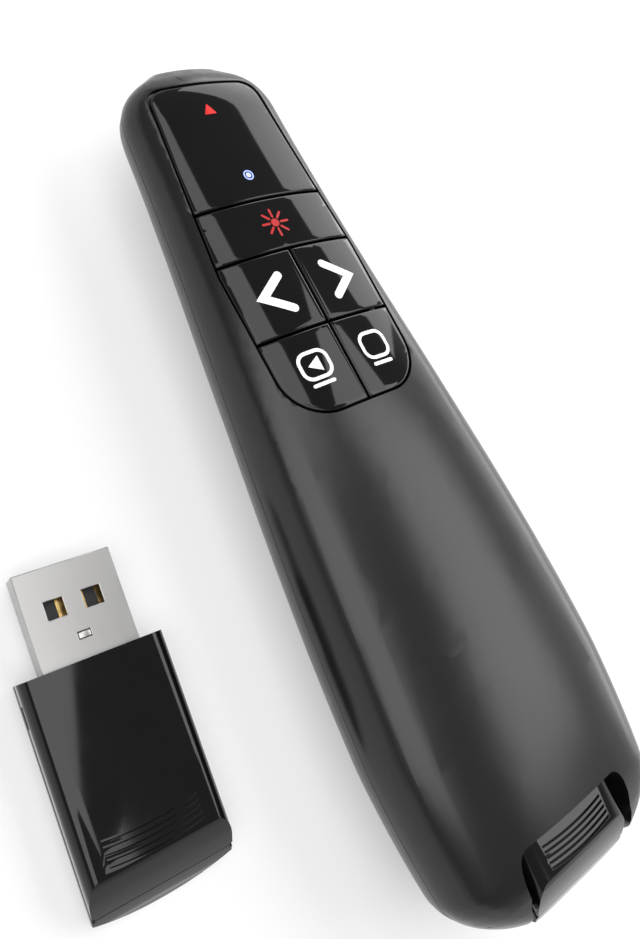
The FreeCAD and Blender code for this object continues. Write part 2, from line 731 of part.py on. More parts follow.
node("negative_contact", prism("negativeContact", [(x, "%s + %s" % (pocketTail, y)) for x, y in leaf],
                               cellMiddle + " - leafHigh", cellMiddle + " + leafHigh"))

# Power slider through the right wall and the switch behind it
sliderY = (sliderMiddle + " - sliderLong / 2", sliderMiddle + " + sliderLong / 2")
sliderZ = ("-sliderHigh - sliderGap", "-sliderGap")
sliderX = "(%s)" % law(noseY(sliderMiddle), "gripPlace", "headHalfWidth", "gripHalfWidth",
                       "tailHalfWidth", "0.4")
node("power_slider", box("powerSlider", ("boardHalf + powerCaseOut + sliderGap",
                                         sliderX + " + sliderProud"), sliderY, sliderZ))
node("power_switch", box("powerSwitch", (trayHalf + " + boardGap", "boardHalf + powerCaseOut"),
                         (sliderMiddle + " - powerCaseBack", sliderMiddle + " + powerCaseAhead"),
                         ("boardUnder - powerCaseHigh", "boardUnder")))


# Receiver: two half shells, plug, tongue, contacts, board and chip


def receiver(prefix, loose):
    def own(name, thing):
        if loose:
            thing = group(prefix.replace("_", "") + name.replace("_", "") + "Out", [thing])
            reach = "(bodyLength / 2 - (receiverLong + plugOut) / 2)"
            thing.Placement = FreeCAD.Placement(
                FreeCAD.Vector(), FreeCAD.Rotation(FreeCAD.Vector(0, 0, 1), value("looseTurn")))
            thing.setExpression("Placement.Rotation.Angle", bound("looseTurn"))
            thing.setExpression("Placement.Base.x", bound("looseX - %s * sin(looseTurn * 1 deg)" % reach))
            thing.setExpression("Placement.Base.y", bound("looseY + %s * cos(looseTurn * 1 deg)" % reach))
            thing.setExpression("Placement.Base.z", bound("-partingHeight - receiverUnder"))
        return node(prefix + "_" + name, thing)

    tag = prefix.replace("_", "")
    middle = "((receiverTop + receiverUnder) / 2)"
    endY = "-bodyLength / 2"
    frontY = "(receiverLong - bodyLength / 2)"
    hull = box(tag + "Hull", ("-receiverHalf", "receiverHalf"), (endY, frontY),
               ("receiverUnder", "receiverTop"))
    rounded = doc.addObject("Part::Fillet", tag + "Rounded")
    rounded.Base = hull
    doc.recompute()
    long = [i for i, e in enumerate(hull.Shape.Edges, 1) if abs(e.tangentAt(e.FirstParameter).y) > 0.9]
    rounded.Edges = [(i, value("receiverEdge"), value("receiverEdge")) for i in long]
    bow = rod(tag + "Bow", "z", "receiverEndRound", "beyond * 2",
              "0", endY + " + receiverEndRound", "-beyond")
    front = box(tag + "Front", across, (endY + " + receiverSolid", frontY + " + overrun"), across)
    bowed = common(tag + "Bowed", rounded, join(tag + "BowAndFront", [bow, front]))
    chord = "sqrt(facetLong^2 + receiverTop^2)"
    arm = "sqrt(facetRound^2 - (%s / 2)^2)" % chord
    facetDrum = rod(tag + "FacetDrum", "x", "facetRound", "beyond * 2", "-beyond",
                    "%s + facetLong / 2 + %s * receiverTop / %s" % (endY, arm, chord),
                    "receiverTop / 2 - %s * facetLong / %s" % (arm, chord))
    facetBlock = box(tag + "FacetBlock", across, (endY + " - overrun", endY + " + facetLong"), above)
    sides = []
    for sign in ("", "-"):
        deep = "%s(receiverHalf - sideLineDeep)" % sign
        far = sign + "(receiverHalf + overrun)"
        span = (deep, far) if not sign else (far, deep)
        sides.append(box("%sSideLine%d" % (tag, len(sides)), span,
                         (endY + " - overrun", frontY + " + overrun"),
                         (middle + " - sideLineHigh / 2", middle + " + sideLineHigh / 2")))
        deep = "%s(receiverHalf - catchDeep)" % sign
        span = (deep, far) if not sign else (far, deep)
        sides.append(box("%sCatch%d" % (tag, len(sides)), span,
                         (frontY + " - catchPlace - catchLong", frontY + " - catchPlace"),
                         (middle, middle + " + catchHigh")))
    cavityHalf = "(receiverHalf - receiverWall - catchDeep)"
    cavity = box(tag + "Cavity", ("-" + cavityHalf, cavityHalf),
                 (endY + " + receiverSolid", frontY + " - receiverWall"),
                 ("receiverUnder + receiverWall", "receiverTop - receiverWall"))
    plugY = (frontY + " - plugIn", frontY + " + plugOut")
    plugHigh = "(%s + plugThick / 2)" % middle
    plugLow = "(%s - plugThick / 2)" % middle
    passage = box(tag + "Passage", ("-plugHalf - plugFit", "plugHalf + plugFit"),
                  (plugY[0] + " - overrun", plugY[1]), (plugLow + " - plugFit", plugHigh + " + plugFit"))
    grooves = []
    for number in range(5):
        centre = "ribPlace - bodyLength / 2 - %d * ribPitch + ribCurve" % number
        outer = rod("%sRibOuter%d" % (tag, number), "z", "ribCurve", "beyond", "0", centre,
                    "receiverTop - ribDeep")
        inner = rod("%sRibInner%d" % (tag, number), "z", "ribCurve - ribWide", "beyond", "0", centre,
                    "receiverTop - ribDeep")
        grooves.append(cut("%sRib%d" % (tag, number), outer, inner))
    ribSpan = box(tag + "RibSpan", ("-ribHalf", "ribHalf"), ("-bodyLength", endY + " + ribPlace + ribCurve"),
                  above)
    ribCut = common(tag + "RibCut", join(tag + "Ribs", grooves), ribSpan)
    facetCut = cut(tag + "FacetCut", facetBlock, facetDrum)
    shellTools = join(tag + "Tools", [cavity, passage, ribCut, facetCut] + sides)
    shell = cut(tag + "Shell", bowed, shellTools)
    along = ("-bodyLength", "bodyLength")
    topHalf = box(tag + "TopHalf", across, along, (middle + " + shellSeam", "beyond"))
    lowHalf = box(tag + "LowHalf", across, along, ("-beyond", middle + " - shellSeam"))
    own("top_shell", common(tag + "Top", shell, topHalf))
    own("bottom_shell", common(tag + "Bottom", shell, lowHalf))

    sleeve = box(tag + "Sleeve", ("-plugHalf", "plugHalf"), plugY, (plugLow, plugHigh))
    sleeveBore = box(tag + "SleeveBore", ("-plugHalf + plugSheet", "plugHalf - plugSheet"),
                     (plugY[0] + " - overrun", plugY[1] + " + overrun"),
                     (plugLow + " + plugSheet", plugHigh + " - plugSheet"))
    holes = []

    def hole(x, wide, back, long):
        y = "%s - %s" % (plugY[1], back)
        span = ("%s - %s / 2" % (x, wide), "%s + %s / 2" % (x, wide))
        holes.append(box("%sHole%d" % (tag, len(holes)), span,
                         ("%s - %s / 2" % (y, long), "%s + %s / 2" % (y, long)),
                         (plugLow + " - overrun", plugHigh + " + overrun")))

    hole("plugWindowSide", "plugWindow", "plugWindowBack", "plugWindow")
    hole("-plugWindowSide", "plugWindow", "plugWindowBack", "plugWindow")
    hole("0", "latchWide", "latchBack", "latchLong")
    own("plug_shell", cut(tag + "Plug", sleeve, join(tag + "PlugTools", [sleeveBore] + holes)))
    tongueTop = "(%s + plugSheet + tongueThick)" % plugLow
    tongue = box(tag + "Tongue", ("-plugHalf + plugSheet", "plugHalf - plugSheet"),
                 (plugY[0], plugY[1] + " - tongueInset"), (plugLow + " + plugSheet", tongueTop))
    own("plug_tongue", tongue)
    contacts = []
    for number in range(4):
        x = "%.1f * contactPitch" % (number - 1.5)
        span = (x + " - contactWide / 2", x + " + contactWide / 2")
        contacts.append(box("%sContact%d" % (tag, number), span,
                            (plugY[0] + " - contactTail", plugY[1] + " - contactInset"),
                            (tongueTop, tongueTop + " + contactThick")))
    own("plug_contacts", group(tag + "Contacts", contacts))
    boardX = "(%s - boardSide)" % cavityHalf
    boardEnd = endY + " + receiverSolid + boardSide"
    own("board", box(tag + "Board", ("-" + boardX, boardX), (boardEnd, plugY[0]),
                     (tongueTop + " - boardSheet", tongueTop)))
    own("chip", box(tag + "Chip", ("-driverSide / 2", "driverSide / 2"),
                    (endY + " + driverPlace", endY + " + driverPlace + driverSide"),
                    (tongueTop, tongueTop + " + driverHigh")))


receiver("receiver", False)
receiver("loose_receiver", True)
doc.recompute()

# Check every object, then write each sub-part
problems = []
for thing in doc.Objects:
    if "Invalid" in thing.State or "Error" in thing.State:
        problems.append("%s is %s" % (thing.Name, thing.State))
for name, thing in nodes.items():
    if thing.Shape.isNull() or not thing.Shape.isValid() or not thing.Shape.Solids:
        problems.append("%s has no valid solid" % name)
if problems:
    raise RuntimeError("; ".join(problems))

os.makedirs("parts", exist_ok=True)
for name, thing in nodes.items():
    thing.Shape.exportStep("parts/%s.step" % name)
    print(name, len(thing.Shape.Solids), round(thing.Shape.Volume, 2))
print(len(nodes), "nodes")
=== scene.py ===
import bmesh
import bpy
import json
import math
from mathutils import Matrix, Vector


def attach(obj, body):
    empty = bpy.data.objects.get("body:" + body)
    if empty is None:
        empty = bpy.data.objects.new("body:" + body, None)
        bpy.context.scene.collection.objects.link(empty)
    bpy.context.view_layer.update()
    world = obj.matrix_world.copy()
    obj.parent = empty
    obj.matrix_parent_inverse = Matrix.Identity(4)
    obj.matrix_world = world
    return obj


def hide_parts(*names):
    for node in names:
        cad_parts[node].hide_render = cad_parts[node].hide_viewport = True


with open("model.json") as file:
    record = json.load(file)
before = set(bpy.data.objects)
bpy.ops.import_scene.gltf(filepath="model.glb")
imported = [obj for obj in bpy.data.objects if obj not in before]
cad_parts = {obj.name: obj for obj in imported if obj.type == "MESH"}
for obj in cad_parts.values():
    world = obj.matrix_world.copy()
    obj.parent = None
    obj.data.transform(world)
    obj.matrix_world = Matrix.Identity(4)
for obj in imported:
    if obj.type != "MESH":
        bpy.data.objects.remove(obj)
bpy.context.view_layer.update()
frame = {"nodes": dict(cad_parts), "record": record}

print("frame loaded")

mm = 0.001
scene = bpy.context.scene


# Materials

mottling = {"low": 0.3, "high": 0.7, "detail": 4.0, "fineDetail": 2.0, "coatRough": 0.03}


def newMaterial(name):
    material = bpy.data.materials.new(name)
    material.use_nodes = True
    tree = material.node_tree
    tree.nodes.clear()
    output = tree.nodes.new("ShaderNodeOutputMaterial")
    shader = tree.nodes.new("ShaderNodeBsdfPrincipled")
    tree.links.new(shader.outputs["BSDF"], output.inputs["Surface"])
    return material, tree, shader


def surface(name, colour, rough, metal=0.0, vary=0.12, roughVary=0.06, varyScale=60.0,
            grain=0.0, grainScale=4000.0, stretch=(1, 1, 1), coat=0.0, specular=0.5,
            glow=None, glowPower=0.0):
    # vary mottles the colour, grain is the height of the fine bump in millimetres
    material, tree, shader = newMaterial(name)
    nodes, links = tree.nodes, tree.links
    place = nodes.new("ShaderNodeTexCoord")
    turn = nodes.new("ShaderNodeMapping")
    turn.inputs["Scale"].default_value = stretch
    links.new(place.outputs["Object"], turn.inputs["Vector"])

    mottle = nodes.new("ShaderNodeTexNoise")
    mottle.inputs["Scale"].default_value = varyScale
    mottle.inputs["Detail"].default_value = mottling["detail"]
    links.new(turn.outputs["Vector"], mottle.inputs["Vector"])
    ramp = nodes.new("ShaderNodeMapRange")
    ramp.inputs["From Min"].default_value = mottling["low"]
    ramp.inputs["From Max"].default_value = mottling["high"]
    ramp.inputs["To Min"].default_value = rough - roughVary
    ramp.inputs["To Max"].default_value = rough + roughVary
    links.new(mottle.outputs["Fac"], ramp.inputs["Value"])
    links.new(ramp.outputs["Result"], shader.inputs["Roughness"])

    tint = nodes.new("ShaderNodeMix")
    tint.data_type = "RGBA"
    tint.inputs["A"].default_value = [c * (1 - vary) for c in colour] + [1]
    tint.inputs["B"].default_value = [min(1, c * (1 + vary)) for c in colour] + [1]
    links.new(mottle.outputs["Fac"], tint.inputs["Factor"])
    links.new(tint.outputs["Result"], shader.inputs["Base Color"])

    if grain:
        fine = nodes.new("ShaderNodeTexNoise")
        fine.inputs["Scale"].default_value = grainScale
        fine.inputs["Detail"].default_value = mottling["fineDetail"]
        links.new(turn.outputs["Vector"], fine.inputs["Vector"])
        bump = nodes.new("ShaderNodeBump")
        bump.inputs["Strength"].default_value = 1.0
        bump.inputs["Distance"].default_value = grain * mm
        links.new(fine.outputs["Fac"], bump.inputs["Height"])
        links.new(bump.outputs["Normal"], shader.inputs["Normal"])

    shader.inputs["Metallic"].default_value = metal
    shader.inputs["Specular IOR Level"].default_value = specular
    if coat:
        shader.inputs["Coat Weight"].default_value = coat
        shader.inputs["Coat Roughness"].default_value = mottling["coatRough"]
    if glow:
        shader.inputs["Emission Color"].default_value = glow + (1,)
        shader.inputs["Emission Strength"].default_value = glowPower
    return material


softTouch = surface("softTouch", (0.009, 0.009, 0.0094), 0.23, vary=0.10, roughVary=0.012,
                    varyScale=90, grain=0.002, grainScale=5200, specular=0.50)
lowerTouch = surface("lowerTouch", (0.010, 0.010, 0.0104), 0.28, vary=0.10, roughVary=0.02,
                     varyScale=90, grain=0.003, grainScale=5200, specular=0.40)
glossPanel = surface("glossPanel", (0.0035, 0.0035, 0.004), 0.045, vary=0.25, roughVary=0.008,
                     varyScale=160, specular=0.42)
glossReceiver = surface("glossReceiver", (0.004, 0.004, 0.004), 0.07, vary=0.25, roughVary=0.015,
                        varyScale=200, specular=0.42)
plugSteel = surface("plugSteel", (0.40, 0.395, 0.39), 0.30, metal=1.0, vary=0.02, roughVary=0.02,
                    varyScale=300, stretch=(30, 1, 1), grain=0.0006, grainScale=600)
goldContact = surface("goldContact", (0.80, 0.56, 0.22), 0.22, metal=1.0, vary=0.06, varyScale=900)
tonguePlastic = surface("tonguePlastic", (0.012, 0.012, 0.013), 0.45, vary=0.15, varyScale=700,
                        grain=0.01)
boardGreen = surface("boardGreen", (0.012, 0.075, 0.030), 0.38, vary=0.25, varyScale=500, grain=0.02,
                     grainScale=2500)
chipBlack = surface("chipBlack", (0.015, 0.015, 0.016), 0.55, vary=0.2, varyScale=900, grain=0.015)
switchMetal = surface("switchMetal", (0.50, 0.50, 0.50), 0.33, metal=1.0, vary=0.08, varyScale=900)
brassBarrel = surface("brassBarrel", (0.62, 0.44, 0.17), 0.28, metal=1.0, vary=0.08, varyScale=500,
                      stretch=(1, 8, 1), grain=0.01)
lensGlass = surface("lensGlass", (0.30, 0.06, 0.06), 0.08, vary=0.1, varyScale=800, coat=0.8)
bezelBlack = surface("bezelBlack", (0.02, 0.02, 0.02), 0.25, vary=0.2, varyScale=900, coat=0.3)
screwSteel = surface("screwSteel", (0.30, 0.30, 0.31), 0.30, metal=1.0, vary=0.1, varyScale=900)
cellJacket = surface("cellJacket", (0.035, 0.11, 0.10), 0.30, vary=0.15, varyScale=300, coat=0.4)
springSteel = surface("springSteel", (0.55, 0.54, 0.50), 0.28, metal=1.0, vary=0.08, varyScale=900)
plungerBlack = surface("plungerBlack", (0.03, 0.03, 0.03), 0.5, vary=0.2, varyScale=900, grain=0.01)
ledBlue = surface("ledBlue", (0.05, 0.08, 0.60), 0.25, vary=0.1, varyScale=900,
                  glow=(0.15, 0.22, 1.0), glowPower=0.4)
ledRed = surface("ledRed", (0.60, 0.03, 0.03), 0.25, vary=0.1, varyScale=900,
                 glow=(1.0, 0.05, 0.03), glowPower=0.4)
# the printed marks get a painted glow: emission on top of their print colour makes them shine brighter
# than the lamps light them
printWhiteGlowing = surface("printWhiteGlowing", (0.86, 0.86, 0.86), 0.35, vary=0.04, varyScale=900,
                     glow=(1.0, 1.0, 1.0), glowPower=0.25)
printRedGlowing = surface("printRedGlowing", (0.42, 0.010, 0.012), 0.35, vary=0.08, varyScale=900,
                   glow=(1.0, 0.03, 0.03), glowPower=0.14)
glowRed = surface("glowRed", (0.50, 0.012, 0.010), 0.3, vary=0.08, varyScale=900,
                  glow=(1.0, 0.035, 0.025), glowPower=0.35)
glowBlue = surface("glowBlue", (0.30, 0.40, 0.95), 0.3, vary=0.08, varyScale=900,
                   glow=(0.35, 0.45, 1.0), glowPower=0.7)
glowPale = surface("glowPale", (0.55, 0.62, 0.90), 0.3, vary=0.03, varyScale=900,
                   glow=(0.7, 0.80, 1.0), glowPower=0.25)

print("materials made")


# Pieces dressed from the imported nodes

bodyOf = {}
for body, members in frame["record"]["behaviour"]["bodies"].items():
    for member in members:
        bodyOf[member] = body


def finishMesh(mesh, angle=40):
    mesh.shade_smooth()
    mesh.set_sharp_from_angle(angle=math.radians(angle))


def dressNode(nodeName, material, edge=0.0, segments=2, flat=0.6, sharp=34,
              shape=None):
    # a copy of the node with its doubles merged and its edges rounded by edge millimetres
    source = frame["nodes"][nodeName]
    mesh = bpy.data.meshes.new(nodeName + "Skin")
    bm = bmesh.new()
    bm.from_mesh(source.data)
    bmesh.ops.remove_doubles(bm, verts=bm.verts, dist=0.002 * mm)
    bmesh.ops.dissolve_limit(bm, angle_limit=math.radians(flat), verts=bm.verts, edges=bm.edges)
    if shape:
        shape(bm)
    bm.to_mesh(mesh)
    bm.free()
    mesh.materials.clear()
    mesh.materials.append(material)
    finishMesh(mesh, sharp)
    piece = bpy.data.objects.new(nodeName + "Skin", mesh)
    scene.collection.objects.link(piece)
    if edge:
        rounding = piece.modifiers.new("rounding", "BEVEL")
        rounding.width = edge * mm
        rounding.segments = segments
        rounding.limit_method = "ANGLE"
        rounding.angle_limit = math.radians(sharp)
        rounding.use_clamp_overlap = True
        rounding.harden_normals = False
    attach(piece, bodyOf[nodeName])
    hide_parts(nodeName)
    return piece


def paintNode(nodeName, material):
    node = frame["nodes"][nodeName]
    node.data.materials.clear()
    node.data.materials.append(material)


# The handset's form: width, rise and depth each run from head to widest place to tail

form = {
    "length": 125.0, "parting": 13.2,
    "width": (97.0, 11.8, 20.4, 17.8, 0.4),
    "rise": (82.0, 4.5, 8.6, 6.6, 0.25),
    "depth": (42.0, 9.0, 13.55, 12.2, 0.5),
    "crown": 0.84, "flatZone": 0.4,
    "noseRound": 8.4, "noseSquare": 2.6, "tailRound": 10.6, "tailLeast": 0.03,
    "noseSteps": (0.06, 0.16, 0.38, 0.66),
    "barrelSteps": (0.0, 0.10, 0.21, 0.34, 0.50, 0.69, 0.86),
    "tailSteps": (90, 66, 46, 28, 10),
    "slice": 1.6,
}


def law(at, peak, head, top, tail, ease):
    if at <= peak:
        u = at / peak
        return head + (top - head) * (ease * u + (1 - ease) * u * u * (3 - 2 * u))
    v = (at - peak) / (form["length"] - peak)
    return top - (top - tail) * v * v


def noseClosing(at):
    share = max(form["noseSteps"][0], at / form["noseRound"])
    square = form["noseSquare"]
    return (1 - (1 - share) ** square) ** (1 / square) if share < 1 else 1.0


def tailClosing(at):
    reach = 1 - (form["length"] - at) / form["tailRound"]
    return math.sqrt(max(form["tailLeast"], 1 - reach * reach)) if reach > 0 else 1.0


def topHeight(x, y):
    # x and y in millimetres, height above the floor
    at = form["length"] / 2 - y
    closing = noseClosing(at)
    half = law(at, *form["width"]) * closing
    up = law(at, *form["rise"]) * closing
    shoulder = up * form["crown"]
    crown = ((half - shoulder) ** 2 + up ** 2 - shoulder ** 2) / (2 * (up - shoulder))
    edge = crown * (half - shoulder) / (crown - shoulder)
    if abs(x) <= edge:
        z = up - crown + math.sqrt(crown ** 2 - x * x)
    else:
        z = math.sqrt(max(0.0, shoulder ** 2 - (abs(x) - half + shoulder) ** 2))
    return form["parting"] + z


def stations():
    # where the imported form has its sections, from the nose
    nose = [form["noseRound"] * share for share in form["noseSteps"][1:]]
    barrel = form["length"] - form["noseRound"] - form["tailRound"]
    middle = [form["noseRound"] + barrel * share for share in form["barrelSteps"]]
    tail = [form["length"] - form["tailRound"] * (1 - math.cos(math.radians(turn)))
            for turn in form["tailSteps"][:-1]]
    return nose + middle + tail


def trueForm(bm):
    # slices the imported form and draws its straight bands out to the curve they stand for
    places = stations()
    sides = {"width": [], "rise": [], "depth": []}
    for at in places:
        for side, row in sides.items():
            row.append(law(at, *form[side]) * noseClosing(at) * tailClosing(at))
    half = form["length"] / 2
    count = int(form["length"] / form["slice"])
    for i in range(1, count):
        y = (half - form["length"] * i / count) * mm
        bmesh.ops.bisect_plane(bm, geom=bm.verts[:] + bm.edges[:] + bm.faces[:], dist=1e-7,
                               plane_co=(0, y, 0), plane_no=(0, 1, 0))
    for v in bm.verts:
        at = half - v.co.y / mm
        if at <= places[0] or at >= places[-1]:
            continue
        i = max(k for k in range(len(places)) if places[k] <= at)
        share = (at - places[i]) / (places[i + 1] - places[i])
        scale = {}
        for side, row in sides.items():
            straight = row[i] + (row[i + 1] - row[i]) * share
            scale[side] = law(at, *form[side]) * noseClosing(at) * tailClosing(at) / straight
        z = v.co.z / mm - form["parting"]
        v.co.x *= scale["width"]
        if z > 0:
            v.co.z = (form["parting"] + z * scale["rise"]) * mm
        elif v.co.z > form["flatZone"] * mm:  # the flat it stands on stays flat
            v.co.z = max(0.0, form["parting"] + z * scale["depth"]) * mm


panel = {
    "top": 3.9, "topHalf": 8.4, "widest": 32.0, "midHalf": 11.1, "end": 54.0, "endHalf": 10.9,
    "topRound": 2.4, "endRound": 6.5, "rows": (22.8, 30.7, 42.3), "gap": 0.3,
    "under": 2.9, "edge": 0.28, "edgeSteps": 4, "grid": 0.8,
}


def panelHalf(at):
    if at <= panel["widest"]:
        share = (at - panel["top"]) / (panel["widest"] - panel["top"])
        return panel["topHalf"] + (panel["midHalf"] - panel["topHalf"]) * share
    share = (at - panel["widest"]) / (panel["end"] - panel["widest"])
    return panel["midHalf"] + (panel["endHalf"] - panel["midHalf"]) * share


def gridCut(bm, step):
    # cuts the faces along lines step millimetres apart both ways
    xs = [v.co.x for v in bm.verts]
    ys = [v.co.y for v in bm.verts]
    ways = ((min(xs), max(xs), Vector((1, 0, 0))), (min(ys), max(ys), Vector((0, 1, 0))))
    for low, high, normal in ways:
        count = max(1, round((high - low) / step))
        for i in range(1, count):
            where = low + (high - low) * i / count
            bmesh.ops.bisect_plane(bm, geom=bm.verts[:] + bm.edges[:] + bm.faces[:], dist=1e-4,
                                   plane_co=normal * where, plane_no=normal)


def newPiece(name, bm, material, body, sharp=40, toMetres=True):
    if toMetres:
        bmesh.ops.scale(bm, vec=(mm, mm, mm), verts=bm.verts)
    bmesh.ops.recalc_face_normals(bm, faces=bm.faces)
    mesh = bpy.data.meshes.new(name)
    bm.to_mesh(mesh)
    bm.free()
    mesh.materials.append(material)
    finishMesh(mesh, sharp)
    piece = bpy.data.objects.new(name, mesh)
    scene.collection.objects.link(piece)
    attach(piece, body)
    return piece


def keyCap(name, corners, rounds, nodeName):
    # a gloss cap whose top follows the housing's form; corners are (x, distance from the nose)
    bm = bmesh.new()
    verts = [bm.verts.new((x, form["length"] / 2 - at, 0)) for x, at in corners]
    face = bm.faces.new(verts)
    for number, radius in rounds.items():
        bmesh.ops.bevel(bm, geom=[verts[number]], offset=radius, offset_type="OFFSET",
                        affect="VERTICES", segments=10, profile=0.5, material=-1)
    bm.faces.ensure_lookup_table()
    face = bm.faces[0]
    if face.normal.z < 0:
        face.normal_flip()
    edge, steps = panel["edge"], panel["edgeSteps"]
    bmesh.ops.translate(bm, vec=(0, 0, -edge), verts=bm.verts)
    for i in range(steps):
        a, b = (math.pi / 2 * (i + k) / steps for k in (0, 1))
        bmesh.ops.inset_region(bm, faces=[face], thickness=edge * (math.cos(a) - math.cos(b)), depth=0,
                               use_even_offset=True, use_boundary=True)
        rise = edge * (math.sin(b) - math.sin(a))
        bmesh.ops.translate(bm, vec=(0, 0, rise), verts=face.verts)
    gridCut(bm, panel["grid"])
    for v in bm.verts:
        v.co.z += topHeight(v.co.x, v.co.y)
    rim = [e for e in bm.edges if e.is_boundary]
    skirt = bmesh.ops.extrude_edge_only(bm, edges=rim)["geom"]
    for v in skirt:
        if isinstance(v, bmesh.types.BMVert):
            v.co.z = form["parting"] + panel["under"]
    bmesh.ops.holes_fill(bm, edges=[e for e in bm.edges if e.is_boundary], sides=0)
    cap = newPiece(name, bm, glossPanel, bodyOf[nodeName])
    evening = cap.modifiers.new("evening", "WEIGHTED_NORMAL")  # keeps the broad face calm beside its edge
    evening.mode = "FACE_AREA"
    evening.keep_sharp = True
    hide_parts(nodeName)
    return cap


half = panel["gap"] / 2
rowOne, rowTwo, rowThree = panel["rows"]
top, end, widest = panel["top"], panel["end"], panel["widest"]


def sideCorners(sign, high, low):
    corners = [(sign * half, high), (sign * panelHalf(high), high)]
    if high < widest < low:
        corners.append((sign * panelHalf(widest), widest))
    return corners + [(sign * panelHalf(low), low), (sign * half, low)]


keyCap("windowCap", [(-panelHalf(top), top), (panelHalf(top), top),
                     (panelHalf(rowOne), rowOne - half), (-panelHalf(rowOne), rowOne - half)],
       {0: panel["topRound"], 1: panel["topRound"]}, "indicator_window")
keyCap("laserCap", [(-panelHalf(rowOne), rowOne + half), (panelHalf(rowOne), rowOne + half),
                    (panelHalf(rowTwo), rowTwo - half), (-panelHalf(rowTwo), rowTwo - half)],
       {}, "laser_button")
keyCap("backCap", sideCorners(-1, rowTwo + half, rowThree - half), {},
       "back_button")
keyCap("forwardCap", sideCorners(1, rowTwo + half, rowThree - half), {},
       "forward_button")
keyCap("playCap", sideCorners(-1, rowThree + half, end), {2: panel["endRound"]},
       "play_button")
keyCap("blankCap", sideCorners(1, rowThree + half, end), {2: panel["endRound"]},
       "blank_button")
print("panel made")


# Marks printed on the panel

marks = {"lift": 0.025, "sink": 0.03, "grid": 0.35, "leastMitre": 0.35}


def layMark(name, bm, material, body):
    # drops a flat outline onto the panel and gives it a thin body
    gridCut(bm, marks["grid"])
    made = bmesh.ops.extrude_face_region(bm, geom=bm.faces[:])["geom"]
    upper = {v for v in made if isinstance(v, bmesh.types.BMVert)}
    for v in bm.verts:
        v.co.z = topHeight(v.co.x, v.co.y) + (marks["lift"] if v in upper else -marks["sink"])
    return newPiece(name, bm, material, body)


def stroke(bm, points, width, closed=False, ends=8):
    # a line of even width through points, with round ends
    points = [Vector((x, y)) for x, y in points]
    count = len(points)
    sides = []
    for i, point in enumerate(points):
        before = points[i - 1] if (closed or i) else None
        after = points[(i + 1) % count] if (closed or i < count - 1) else None
        inward = (point - before).normalized() if before else None
        outward = (after - point).normalized() if after else None
        if inward and outward:
            across = Vector((-inward.y - outward.y, inward.x + outward.x)).normalized()
            grow = 1 / max(marks["leastMitre"], across.dot(Vector((-inward.y, inward.x))))
        else:
            run = inward or outward
            across, grow = Vector((-run.y, run.x)), 1
        sides.append((point + across * width / 2 * grow, point - across * width / 2 * grow))
    if closed:
        left = [bm.verts.new((*a, 0)) for a, b in sides]
        right = [bm.verts.new((*b, 0)) for a, b in sides]
        for i in range(count):
            j = (i + 1) % count
            bm.faces.new((left[i], left[j], right[j], right[i]))
        return
    outline = [a for a, b in sides]
    start = outline[-1] - points[-1]
    outline += [points[-1] + Matrix.Rotation(-math.pi * k / ends, 2) @ start for k in range(1, ends)]
    outline += [b for a, b in reversed(sides)]
    start = outline[-1] - points[0]
    outline += [points[0] + Matrix.Rotation(-math.pi * k / ends, 2) @ start for k in range(1, ends)]
    bm.faces.new([bm.verts.new((*p, 0)) for p in outline])


def roundBox(x, y, wide, high, radius, steps=5):
    points = []
    for cx, cy, start in ((1, 1, 0), (-1, 1, 90), (-1, -1, 180), (1, -1, 270)):
        for k in range(steps + 1):
            a = math.radians(start + 90 * k / steps)
            points.append((x + cx * (wide / 2 - radius) + radius * math.cos(a),
                           y + cy * (high / 2 - radius) + radius * math.sin(a)))
    return points


def disc(bm, x, y, radius, segments=24):
    bmesh.ops.create_circle(bm, cap_ends=True, segments=segments, radius=radius,
                            matrix=Matrix.Translation((x, y, 0)))


arrow = {"width": 1.2, "tall": 5.0, "deep": 3.5, "y": 25.9, "x": 5.1, "outset": 0.4}
for name, sign, body in (("backMark", -1, "back_key"), ("forwardMark", 1, "forward_key")):
    bm = bmesh.new()
    tip = sign * (arrow["x"] + arrow["deep"] / 2 + arrow["outset"])
    tail = tip - sign * arrow["deep"]
    stroke(bm, [(tail, arrow["y"] + arrow["tall"] / 2), (tip, arrow["y"]),
                (tail, arrow["y"] - arrow["tall"] / 2)], arrow["width"])
    layMark(name, bm, printWhiteGlowing, body)

screen = {"x": 5.1, "y": 15.2, "wide": 4.3, "high": 3.7, "round": 1.3, "line": 0.5,
          "barDrop": 2.75, "barWide": 3.0, "playTip": 1.1, "playBack": 0.85, "playHalf": 1.1}
for name, sign, body in (("playMark", -1, "play_key"), ("blankMark", 1, "blank_key")):
    bm = bmesh.new()
    x, y = sign * screen["x"], screen["y"]
    stroke(bm, roundBox(x, y, screen["wide"], screen["high"], screen["round"]), screen["line"],
           closed=True)
    stroke(bm, [(x - screen["barWide"] / 2, y - screen["barDrop"]),
                (x + screen["barWide"] / 2, y - screen["barDrop"])], screen["line"])
    if sign < 0:
        back, spread = screen["playBack"], screen["playHalf"]
        corners = ((-screen["playTip"], 0), (back, -spread), (back, spread))
        bm.faces.new([bm.verts.new((x + dx, y + dy, 0)) for dx, dy in corners])
    layMark(name, bm, printWhiteGlowing, body)

burst = {"x": 0.0, "y": 35.8, "inner": 0.95, "outer": 2.0, "line": 0.34, "dot": 0.62, "rays": 8}
bm = bmesh.new()
for ray in range(burst["rays"]):
    a = 2 * math.pi * ray / burst["rays"]
    stroke(bm, [(burst["x"] + r * math.cos(a), burst["y"] + r * math.sin(a))
                for r in (burst["inner"], burst["outer"])], burst["line"], ends=4)
disc(bm, burst["x"], burst["y"], burst["dot"])
layMark("burstMark", bm, printRedGlowing, "laser_key")

